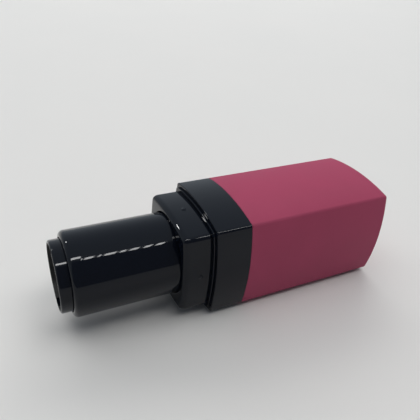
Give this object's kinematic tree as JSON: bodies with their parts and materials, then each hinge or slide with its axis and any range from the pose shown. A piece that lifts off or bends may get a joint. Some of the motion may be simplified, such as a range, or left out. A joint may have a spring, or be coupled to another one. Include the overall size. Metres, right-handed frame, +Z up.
{
  "type": "lipstick case",
  "caption": "Square lipstick case with bowed sides, shown open: a matte shell, a gloss collar and neck, and a round barrel that turns to screw an empty cup out of its ringed mouth.",
  "frame": {"origin": "on the surface that the case lies on, below the middle of its box", "axes": "+X from the mouth to the closed end along the case, +Z up, +Y to the case's other side"},
  "size_m": [0.072, 0.0228, 0.0228],
  "materials": {
    "soft_touch_pink": "soft-touch matte",
    "gloss_black": "high gloss",
    "moulded_black": "as moulded",
    "slug_steel": "bare",
    "silicone": "matte"
  },
  "bodies": {
    "base": {"base_shell": "soft_touch_pink", "weight_slug": "slug_steel", "base_core": "moulded_black", "collar_band": "gloss_black", "neck_collar": "gloss_black", "slotted_tube": "gloss_black"},
    "barrel": {"barrel_shell": "gloss_black", "spiral_sleeve": "moulded_black", "brake_ring": "silicone"},
    "cup": {"cup": "moulded_black"}
  },
  "joints": [
    {"name": "barrel_twist", "type": "hinge", "parent": "base", "child": "barrel", "pos_m": [0, 0, 0.0114], "axis": [-1, 0, 0], "range_deg": [0, 486]},
    {"name": "cup_lift", "type": "slide", "parent": "base", "child": "cup", "axis": [-1, 0, 0], "range_m": [0, 0.027]}
  ],
  "couplings": [
    {"joint": "cup_lift", "follows": "barrel_twist", "m_per_rad": 0.003183}
  ]
}
